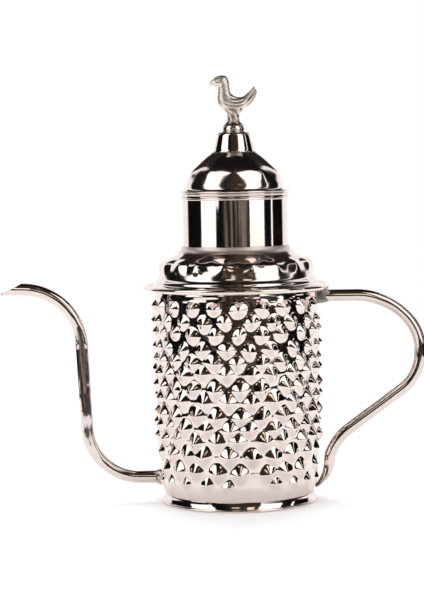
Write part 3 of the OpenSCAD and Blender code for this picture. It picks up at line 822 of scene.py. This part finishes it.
# Handle: a bent round tube whose lower end is beaten flat and laid on the wall
handleShape = {
    "startX": 55.0, "startZ": 129.6, "radius": 3.9, "sides": 44,
    "runs": [(20.0,), (44.0, -43.0), (2.0,), (30.0, -47.0), (2.0,), (29.0, -54.0), (41.8,), (34.0, 36.0)],
    # x, z, heading, half height and half width of the beaten end
    "tail": [(57.1, 22.0, 257, 3.6, 4.1), (56.1, 18.0, 256, 3.2, 4.5),
             (54.7, 14.6, 250, 2.7, 4.9), (52.6, 12.0, 238, 1.9, 4.8),
             (50.6, 9.4, 235, 1.3, 3.6), (48.6, 7.6, 232, 0.8, 1.8)],
    "tailRings": 26, "dentShare": 0.055, "dentReach": 6,
    "rootRings": 6, "rootFilm": 0.8, "tailFilm": (0.2, 1),
}


def handleTube():
    handle, sides = handleShape, handleShape["sides"]
    path = pathRun((handle["startX"], handle["startZ"]), 0, handle["runs"])
    endX, endZ, endFacing = path[-1]
    tailStart = (endX, endZ, math.degrees(endFacing) % 360, handle["radius"], handle["radius"])
    tail = curveThrough([tailStart, *handle["tail"]], handle["tailRings"])[1:]
    facing = np.concatenate([path[:, 2] % fullTurn, np.radians(tail[:, 2])])[:, None]
    middle = np.vstack([path[:, :2], tail[:, :2]])
    halves = np.vstack([np.full((len(path), 2), handle["radius"]), tail[:, 3:]])
    rings = len(middle)
    a = ringTurns(sides)
    dents = 1 + tubeDents(rings, sides, handle["dentShare"], handle["dentReach"])
    high, across = halves[:, :1] * np.sin(a) * dents, halves[:, 1:] * np.cos(a) * dents
    x = middle[:, :1] - high * np.sin(facing)
    z = middle[:, 1:] + high * np.cos(facing)
    verts = gridPoints(x, across, z)
    hollow = np.concatenate([np.zeros(len(path)), np.linspace(*handle["tailFilm"], len(tail))])
    hollow[:handle["rootRings"]] = np.linspace(handle["rootFilm"], 0, handle["rootRings"])
    faces = cappedFaces(rings, sides)
    newPiece("handleTube", verts, faces, tubePlate, "pot", "handle_tube", 60, hollow)


# Saddle under the brim: a wedge of solder round the handle's cut end
saddleShape = {"wallRadius": 51.7, "low": 124.9, "top": 134.3, "half": 4.7, "taper": 0.12,
               "reachLow": 6.2, "reachTop": 8.0, "edge": 0.4, "sunk": 0.05, "lumps": (7, 0.3),
               "crown": (5, 9), "rows": 22, "columns": 24}


def handleSaddle():
    saddle, rows, columns = saddleShape, saddleShape["rows"], saddleShape["columns"]
    up = np.linspace(-1, 1, rows)[:, None]
    across = np.linspace(-1, 1, columns)[None, :]
    height = (saddle["low"] + saddle["top"]) / 2 + (saddle["top"] - saddle["low"]) / 2 * up
    lumps = waviness(rows, columns, *saddle["lumps"])
    depth = np.interp(height, [saddle["low"], saddle["top"]], [saddle["reachLow"], saddle["reachTop"]])
    sideways, upward = saddle["crown"]  # higher powers make squarer edges
    crown = (1 - np.abs(across) ** sideways) * (1 - np.abs(up) ** upward)
    y = saddle["half"] * across * (1 - saddle["taper"] * np.abs(up) ** 4)
    wall = np.sqrt(saddle["wallRadius"] ** 2 - y ** 2)
    front = gridPoints(wall + saddle["edge"] + (depth + lumps) * crown, y, height)
    back = gridPoints(wall - saddle["sunk"], y, height)
    skin = gridFaces(rows, columns, False, False)
    at = np.arange(rows * columns).reshape(rows, columns)
    rim = np.concatenate([at[0], at[1:, -1], at[-1, -2::-1], at[-2:0:-1, 0]]).tolist()
    edges = [(rim[i], rim[i - 1], at.size + rim[i - 1], at.size + rim[i]) for i in range(len(rim))]
    faces = skin + [face[::-1] for face in shiftedFaces(skin, at.size)] + edges
    newPiece("handleSaddle", np.vstack([front, back]), faces, solder, "pot", "handle_saddle", 50)


# Cast bird: a loft from tail to beak, with feather lines, tail grooves, eyes and a short twisted stem
birdShape = {
    # x, z, heading, half height and half width
    "stations": [(14.2, 260.6, 211, 1.75, 0.9), (12.4, 257.6, 215, 2.5, 1.5), (9.6, 254.3, 207, 3.2, 2.3),
                 (6.5, 252.4, 196, 3.5, 3.1), (2.6, 251.5, 182, 4.3, 3.8), (-0.9, 252.0, 172, 5.1, 4.2),
                 (-4.1, 253.3, 156, 6.1, 4.3), (-5.7, 256.2, 136, 5.4, 3.9), (-5.7, 260.2, 105, 3.75, 3.2),
                 (-5.9, 263.2, 108, 3.85, 3.1), (-7.5, 265.4, 133, 4.7, 3.4), (-9.9, 265.9, 147, 4.1, 3.0),
                 (-12.2, 265.5, 156, 2.9, 2.0), (-13.9, 264.7, 160, 1.4, 1.0), (-14.5, 264.3, 160, 0.6, 0.5)],
    "rings": 150, "sides": 72,
    "feather": 0.36, "featherPitch": 2.3, "featherBow": 0.045, "featherZ": 251,
    "wingX": 1.5, "wingReach": 5.2, "wingTop": 256,
    "groove": 0.28, "grooves": 6, "tailX": 7.5, "tailRise": 2, "tailFrom": 6,
    "spot": 0.12, "spotsRound": 9, "spotStep": 1.1, "breastZ": 260, "breastReach": 3.5, "breastX": -4,
    "eyeX": -9.7, "eyeZ": 266.5, "eyeSize": 0.85, "eyeHigh": 0.35,
    "eyeRing": 1.35, "eyeRingWide": 0.3, "eyeRingDeep": 0.25,
    "stem": [(4.25, 240.18), (4.1, 240.8), (3.8, 241.8), (3.6, 243.0), (3.7, 244.2), (4.1, 245.3),
             (4.9, 246.4), (5.9, 247.6), (6.4, 248.8)],
    "stemRings": 26, "stemSides": 40, "twist": 0.16, "strands": 6, "twistRate": 1.3,
    "twistLevels": (240.6, 241.8), "flatLevels": (243, 248), "flatTop": 0.56,
    "dirt": 0.35, "dirtPerLift": 2.2, "stemDirt": 0.5, "stemDirtPerLift": 2.4,
}


def castBird():
    bird, rings, sides = birdShape, birdShape["rings"], birdShape["sides"]
    line = curveThrough(bird["stations"], rings)
    lineX, lineZ = line[:, :1], line[:, 1:2]
    facing = np.radians(line[:, 2:3])
    a = ringTurns(sides)
    high, across = line[:, 3:4] * np.cos(a), line[:, 4:5] * np.sin(a)
    x = lineX - high * np.sin(facing)
    z = lineZ + high * np.cos(facing)
    flank = np.abs(np.sin(a)) ** 1.2
    wing = np.exp(-((lineX - bird["wingX"]) / bird["wingReach"]) ** 4) * (lineZ < bird["wingTop"])
    bowed = z - bird["featherZ"] - bird["featherBow"] * (x - bird["wingX"]) ** 2
    feather = bird["feather"] * wing * flank * np.cos(bowed * fullTurn / bird["featherPitch"])
    tail = np.clip((x - bird["tailX"]) / bird["tailRise"], 0, 1) * (lineX > bird["tailFrom"])
    groove = bird["groove"] * tail * np.cos(bird["grooves"] * a)
    breast = np.exp(-((lineZ - bird["breastZ"]) / bird["breastReach"]) ** 2) * (lineX < bird["breastX"])
    ringWave = np.cos(np.arange(rings) * bird["spotStep"])[:, None]
    spots = bird["spot"] * breast * np.cos(bird["spotsRound"] * a) * ringWave
    fromEye = np.hypot(x - bird["eyeX"], z - bird["eyeZ"])
    eye = bird["eyeHigh"] * np.exp(-(fromEye / bird["eyeSize"]) ** 4)
    eye = eye - bird["eyeRingDeep"] * np.exp(-((fromEye - bird["eyeRing"]) / bird["eyeRingWide"]) ** 2)
    lift = feather + groove + spots + eye * flank
    span = np.hypot(high, across) + 1e-6
    x = x - lift * (high / span) * np.sin(facing)
    z = z + lift * (high / span) * np.cos(facing)
    y = across + lift * across / span
    bodyVerts = gridPoints(x, y, z)
    stemVerts, twist = birdStem()
    stemFaces = cappedFaces(bird["stemRings"], bird["stemSides"])
    faces = cappedFaces(rings, sides) + shiftedFaces(stemFaces, len(bodyVerts))
    bodyDirt = np.clip(bird["dirt"] - bird["dirtPerLift"] * lift, 0, 1)
    stemDirt = bird["stemDirt"] - bird["stemDirtPerLift"] * twist
    hollow = np.concatenate([bodyDirt.ravel(), stemDirt.ravel()])
    verts = np.vstack([bodyVerts, stemVerts])
    newPiece("castBird", verts, faces, birdPlate, "lid", "bird", 55, hollow)


def birdStem():
    bird = birdShape
    stem = curveThrough(bird["stem"], bird["stemRings"])
    level = stem[:, 1:]
    turn = ringTurns(bird["stemSides"])
    climb = (level - bird["flatLevels"][0]) * bird["twistRate"]
    twist = bird["twist"] * np.cos(bird["strands"] * turn + climb)
    girth = stem[:, :1] + twist * np.interp(level, bird["twistLevels"], [0, 1])
    flat = np.interp(level, bird["flatLevels"], [1, bird["flatTop"]])  # narrower sideways near the body
    return gridPoints(girth * np.cos(turn), girth * np.sin(turn) * flat, level), twist


footRing()
bodyWall()
seamBead()
shoulderDome()
neckTube()
neckBand()
spoutTube()
spoutCollar()
handleTube()
handleSaddle()
lidBrim()
lidDome()
lidCup()
finialPedestal()
castBird()
print("pieces built")

# CAD nodes that stay as they are get the inside finishes
keptNodes = {"base_disc": tinned, "lid_sleeve": tinned, "spout_strainer": tinned,
             "finial_stud": brass, "finial_washer": brass, "finial_nut": brass}
for nodeName, finish in keptNodes.items():
    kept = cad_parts[nodeName]
    kept.data.materials.clear()
    kept.data.materials.append(finish)

# Studio, in metres and degrees: a white table under the pot
tableLook = {"x": (-0.6, 0.6), "y": (-0.62, 1.0), "colour": (0.80, 0.80, 0.80), "seen": (0.98, 0.98, 0.98),
             "glow": 0.1}


def flatSheet(name, corners, material):
    mesh = bpy.data.meshes.new(name)
    mesh.from_pydata(corners, [], [(0, 1, 2, 3)])
    mesh.materials.append(material)
    sheet = bpy.data.objects.new(name, mesh)
    scene.collection.objects.link(sheet)
    return sheet


def makeTable():
    (x0, x1), (y0, y1) = tableLook["x"], tableLook["y"]
    material, b = newMaterial("paleTable")
    seen = b.node("LightPath", output="Is Camera Ray")
    colour = b.mix(seen, tableLook["colour"], tableLook["seen"])
    cloth = b.node("BsdfDiffuse", None, {"Color": colour})
    glow = b.node("Emission", None, {"Color": (1, 1, 1), "Strength": tableLook["glow"]})
    b.close(b.node("AddShader", None, {0: cloth, 1: glow}))
    table = flatSheet("table", [(x0, y0, 0), (x1, y0, 0), (x1, y1, 0), (x0, y1, 0)], material)


# Panels that the metal reflects: two soft boxes and a strip of light that lean over the pot,
# a dark flag behind it, and small panels for single glints on handle, spout and lid
panelLook = {
    "boxes": {"leftBox": (-79, -43, -34, -84), "rightBox": (31, 65, 70, 26),
              "strip": (84.5, 88.5, 88.5, 84.5)},  # degrees round the pot of each box's corners
    "boxFoot": (0.95, 0.10),  # distance and height of a box's two lower corners, then of its upper ones
    "boxTop": (0.50, 0.95),
    "boxColour": (1, 0.985, 0.97),
    "boxLight": 1.4,
    "flag": ((-0.24, 0.33), (0.24, 0.33), (0.42, 0.85), (-0.42, 0.85)),
    "flagY": 0.3,
    "flagColour": (0.016, 0.013, 0.012),
    "glints": {"handleGlint": ((0.10, 0.22), -0.56, (0.27, 0.48), (1.1, 0.95, 0.75)),  # x, y, z and colour
               "spoutGlint": ((-0.170, -0.137), -0.20, (0.182, 0.25), (1.4, 1.36, 1.30)),
               "bendGlint": ((-0.135, -0.02), -0.56, (0.265, 0.35), (1.2, 1.10, 0.98)),
               "lidGlint": ((0.02, 0.10), -0.56, (0.98, 1.14), (0.7, 0.60, 0.48))},
}


def makePanel(name, corners, colour, strength=1.0, lights=False):
    material, b = newMaterial(name)
    b.close(b.node("Emission", None, {"Color": colour, "Strength": strength}))
    panel = flatSheet(name, corners, material)
    panel.visible_camera = False
    panel.visible_shadow = False
    panel.visible_diffuse = lights


def makePanels():
    look = panelLook
    for name, turns in look["boxes"].items():
        corners = []
        for around, (far, height) in zip(turns, [look["boxFoot"]] * 2 + [look["boxTop"]] * 2):
            a = math.radians(around)
            corners.append((far * math.sin(a), -far * math.cos(a), height))
        makePanel(name, corners, look["boxColour"], look["boxLight"], lights=True)
    makePanel("flag", [(x, look["flagY"], z) for x, z in look["flag"]], look["flagColour"])
    for name, ((x0, x1), y, (z0, z1), colour) in look["glints"].items():
        makePanel(name, [(x0, y, z0), (x1, y, z0), (x1, y, z1), (x0, y, z1)], colour)


# Room: a white backdrop, and darkness on the camera's side with a little mottled grey in it.
# Each edge is a pair of angles that the shades blend between
roomLook = {
    "black": (0.003, 0.0024, 0.0022),
    "front": (0.016, 0.013, 0.012),
    "grey": (0.22, 0.19, 0.17),
    "floor": (0.040, 0.026, 0.018),
    "ceiling": (0.042, 0.028, 0.020),
    "backdropEdge": (125, 131),
    "backdropTop": (54, 46),
    "greyEdge": (30, 22),
    "leftEdge": (-30, -8),
    "rightEdge": (80, 40),
    "floorEdge": (-2.5, -5),
    "ceilingEdge": (1, 5),
    "mottle": (9, 9, 26),
    "fill": 0.80,
}


def makeRoom():
    look = roomLook
    world = bpy.data.worlds.new("studioRoom")
    scene.world = world
    world.use_nodes = True
    b = Board(world.node_tree)
    facing = b.node("TexCoord", output="Generated")
    x, y, z = (b.node("SeparateXYZ", None, {0: facing}, output=k) for k in range(3))
    around = b.node("Math", {"operation": "ARCTAN2"}, {0: x, 1: 0 - y}) * (180 / math.pi)
    height = b.node("Math", {"operation": "ARCSINE"}, {0: z}) * (180 / math.pi)
    away = b.node("Math", {"operation": "ABSOLUTE"}, {0: around})
    lit = b.ramp(away, *look["backdropEdge"]) * b.ramp(height, *look["backdropTop"])
    mottle = b.cloud(b.stretch(facing, look["mottle"]), 1.0, 4.0, 0.6)
    greyPart = b.ramp(away, *look["greyEdge"]) * b.ramp(mottle, 0.46, 0.62)
    middle = b.ramp(around, *look["leftEdge"]) * b.ramp(around, *look["rightEdge"])
    middle = middle * b.ramp(mottle, 0.3, 0.55, 0.45, 1.0)
    front, floor, ceiling = (b.mix(middle, look["black"], look[part])
                             for part in ("front", "floor", "ceiling"))
    dark = b.mix(greyPart, front, look["grey"])
    dark = b.mix(b.ramp(height, *look["floorEdge"]), dark, floor)
    dark = b.mix(b.ramp(height, *look["ceilingEdge"]), dark, ceiling)
    reflected = b.node("Background", None, {"Color": b.mix(lit, dark, (1, 1, 1))})
    plain = b.node("Background", None, {"Color": (1, 1, 1), "Strength": look["fill"]})
    white = b.node("Background", None, {"Color": (1, 1, 1)})
    glossy, seen = (b.node("LightPath", output=ray) for ray in ("Is Glossy Ray", "Is Camera Ray"))
    mixed = b.node("MixShader", None, {0: glossy, 1: plain, 2: reflected})
    mixed = b.node("MixShader", None, {0: seen, 1: mixed, 2: white})
    b.node("OutputWorld", None, {"Surface": mixed})


def aimed(shape):
    return (Vector(shape["target"]) - Vector(shape["place"])).to_track_quat("-Z", "Y")


# Key light behind and above the pot, for a soft shadow towards the camera
keyShape = {"size": (1.2, 1.0), "energy": 9, "place": (0, 0.7, 1.2), "target": (0, 0, 0.1)}


def makeKeyLight():
    data = bpy.data.lights.new("keyLight", "AREA")
    data.shape = "RECTANGLE"
    data.size, data.size_y = keyShape["size"]
    data.energy = keyShape["energy"]
    lamp = bpy.data.objects.new("keyLight", data)
    lamp.location = keyShape["place"]
    lamp.rotation_euler = aimed(keyShape).to_euler()
    lamp.visible_glossy = False
    scene.collection.objects.link(lamp)


cameraShape = {"sensor": 36, "lens": 113.3, "place": (-0.0155, -1.194, 0.213), "target": (-0.0155, 0, 0.128),
               "roll": -1.03}


def makeCamera():
    data = bpy.data.cameras.new("camera")
    data.sensor_width = cameraShape["sensor"]
    data.lens = cameraShape["lens"]
    camera = bpy.data.objects.new("camera", data)
    camera.location = cameraShape["place"]
    camera.rotation_mode = "QUATERNION"
    roll = Quaternion((0, 0, 1), math.radians(cameraShape["roll"]))
    camera.rotation_quaternion = aimed(cameraShape) @ roll
    scene.collection.objects.link(camera)
    scene.camera = camera


makeTable()
makePanels()
makeRoom()
makeKeyLight()
makeCamera()
scene.view_settings.view_transform = "Standard"
print("studio set")
